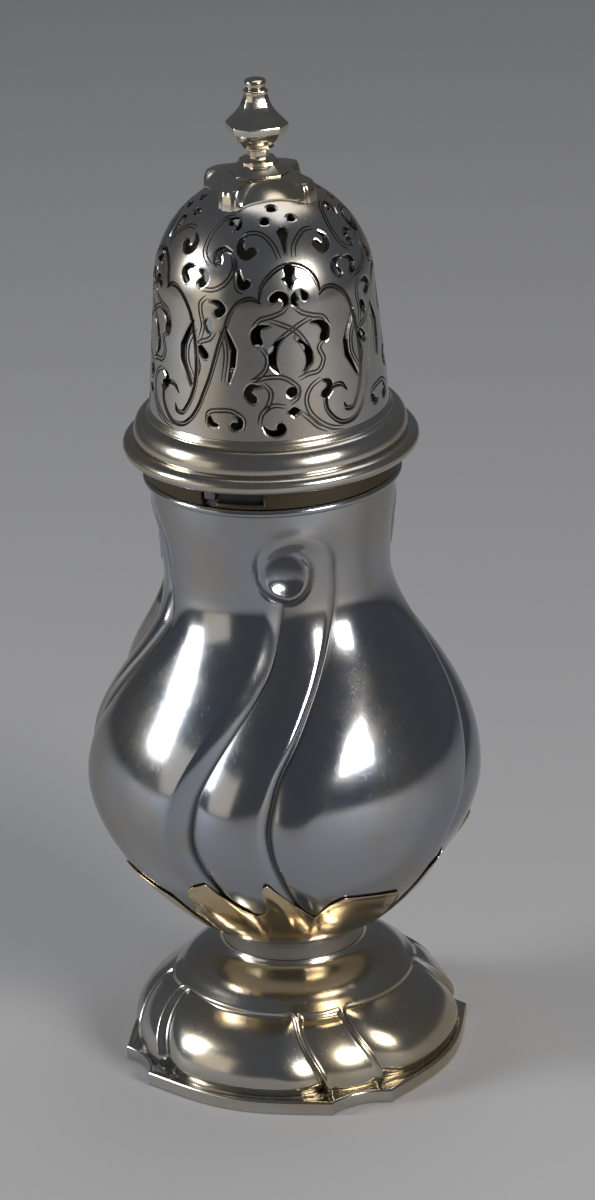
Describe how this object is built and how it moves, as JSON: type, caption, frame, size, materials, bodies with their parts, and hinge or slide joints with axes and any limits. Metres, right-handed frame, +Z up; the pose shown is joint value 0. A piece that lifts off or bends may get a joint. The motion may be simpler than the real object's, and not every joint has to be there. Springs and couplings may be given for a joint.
{
  "type": "sugar caster",
  "caption": "Baluster sugar caster with a swirl-fluted body on a lobed foot, and a pierced domed cover that lifts off and locks with a bayonet turn.",
  "frame": {"origin": "on the table, under the axis of the caster", "axes": "+Z up along the axis, -Y towards the viewer of the picture, +X to the right"},
  "size_m": [0.077, 0.0773, 0.2001],
  "materials": {
    "foot_silver": "polished, worn and lightly tarnished",
    "leaf_silver": "polished, warm tone",
    "body_silver": "polished, fine scratches and light tarnish",
    "inner_silver": "satin inside",
    "cover_silver": "polished, worn, tarnish in the hollows",
    "dome_silver": "polished, pierced and engraved, tarnish in the cuts",
    "finial_silver": "polished, cast",
    "fastening": "dull silver"
  },
  "bodies": {
    "caster_body": {"foot_rim": "foot_silver", "foot_dome": "foot_silver", "foot_collar": "foot_silver", "leaf_calyx": "leaf_silver", "body_shell": "body_silver", "mouth_wire": "body_silver", "bayonet_lug_left": "body_silver", "bayonet_lug_right": "body_silver"},
    "cover_guide": {"cover_bezel": "inner_silver"},
    "cover": {"bayonet_skirt": "cover_silver", "cover_bead": "cover_silver", "cover_moulding": "cover_silver", "dome_ring": "cover_silver", "pierced_dome": "dome_silver", "cap_plate": "finial_silver", "finial_base": "finial_silver", "finial_vase": "finial_silver", "finial_button": "finial_silver", "finial_stud": "fastening", "finial_washer": "fastening", "finial_nut": "fastening"}
  },
  "joints": [
    {"name": "cover_lift", "type": "slide", "parent": "caster_body", "child": "cover_guide", "axis": [0, 0, 1], "range_m": [0, 0.06]},
    {"name": "cover_twist", "type": "hinge", "parent": "cover_guide", "child": "cover", "pos_m": [0, 0, 0.13], "axis": [0, 0, 1], "range_deg": [-22, 0]}
  ]
}
